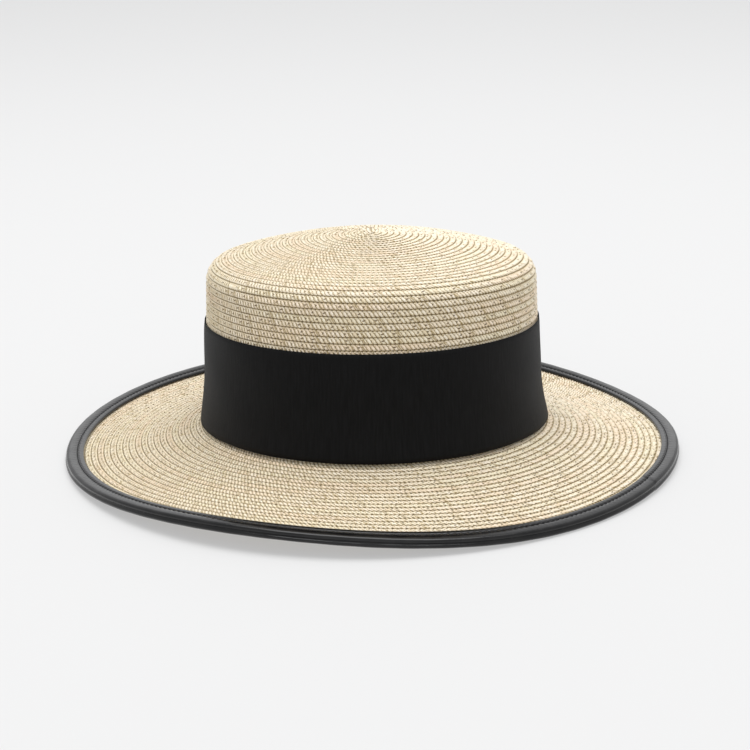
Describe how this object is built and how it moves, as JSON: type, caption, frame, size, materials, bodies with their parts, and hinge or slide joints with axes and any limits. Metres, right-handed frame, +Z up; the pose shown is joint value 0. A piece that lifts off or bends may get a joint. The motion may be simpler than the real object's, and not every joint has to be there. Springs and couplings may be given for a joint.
{
  "type": "straw boater hat",
  "caption": "Flat-crowned straw hat with a wide, slightly wavy brim, a wide dark ribbon band and a dark stitched tape folded over the rim.",
  "frame": {"origin": "middle of the rim's outline, on the ground that the rim rests on", "axes": "+Z up through the tip of the crown, +Y towards the back of the hat along its longer side, +X towards the wearer's left, which is the picture's right"},
  "size_m": [0.3074, 0.3344, 0.1082],
  "materials": {
    "straw_crown": "sewn paper-straw braid, pale natural, matt with a faint sheen",
    "straw_brim": "sewn paper-straw braid, pale natural, matt with a faint sheen",
    "ribbon": "black ribbed ribbon with a soft sheen",
    "edge_tape": "black leather-look tape, semi-gloss, stitched"
  },
  "bodies": {
    "root": {"crown": "straw_crown", "brim": "straw_brim", "hat_band": "ribbon", "edge_binding": "edge_tape"}
  },
  "joints": []
}
